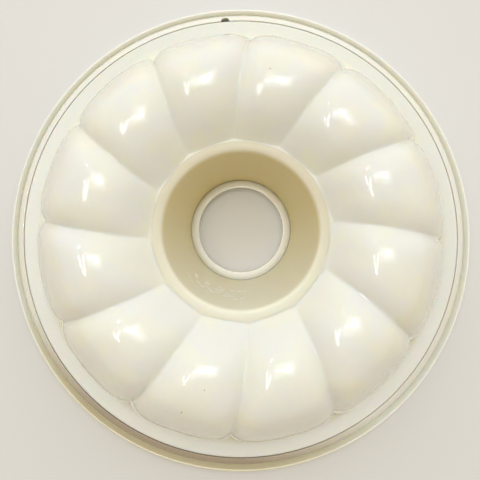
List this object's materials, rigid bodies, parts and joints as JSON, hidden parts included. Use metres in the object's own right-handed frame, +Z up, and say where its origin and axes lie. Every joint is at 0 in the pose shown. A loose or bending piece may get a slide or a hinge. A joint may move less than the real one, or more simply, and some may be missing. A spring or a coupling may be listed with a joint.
{
  "type": "ring jelly mould",
  "caption": "Ring jelly mould of ivory plastic with swirled fluted lobes and a tapered centre tube, standing on its annular base lid with a small hanging hole.",
  "frame": {"origin": "centre of the bounding box's bottom face: on the ring's axis, at the level of the surface that the lid stands on", "axes": "+Z up along the ring's axis, from the lid to the crests of the lobes; +Y towards the side of the hanging hole; +X to its right seen from above"},
  "size_m": [0.24, 0.24, 0.07],
  "materials": {
    "mould_plastic": "gloss",
    "lid_plastic": "gloss"
  },
  "bodies": {
    "lid": {"base_lid": "lid_plastic"},
    "mould": {"mould_body": "mould_plastic"}
  },
  "joints": [
    {"name": "mould_lift", "type": "slide", "parent": "lid", "child": "mould", "axis": [0, 0, 1], "range_m": [0, 0.08]}
  ]
}
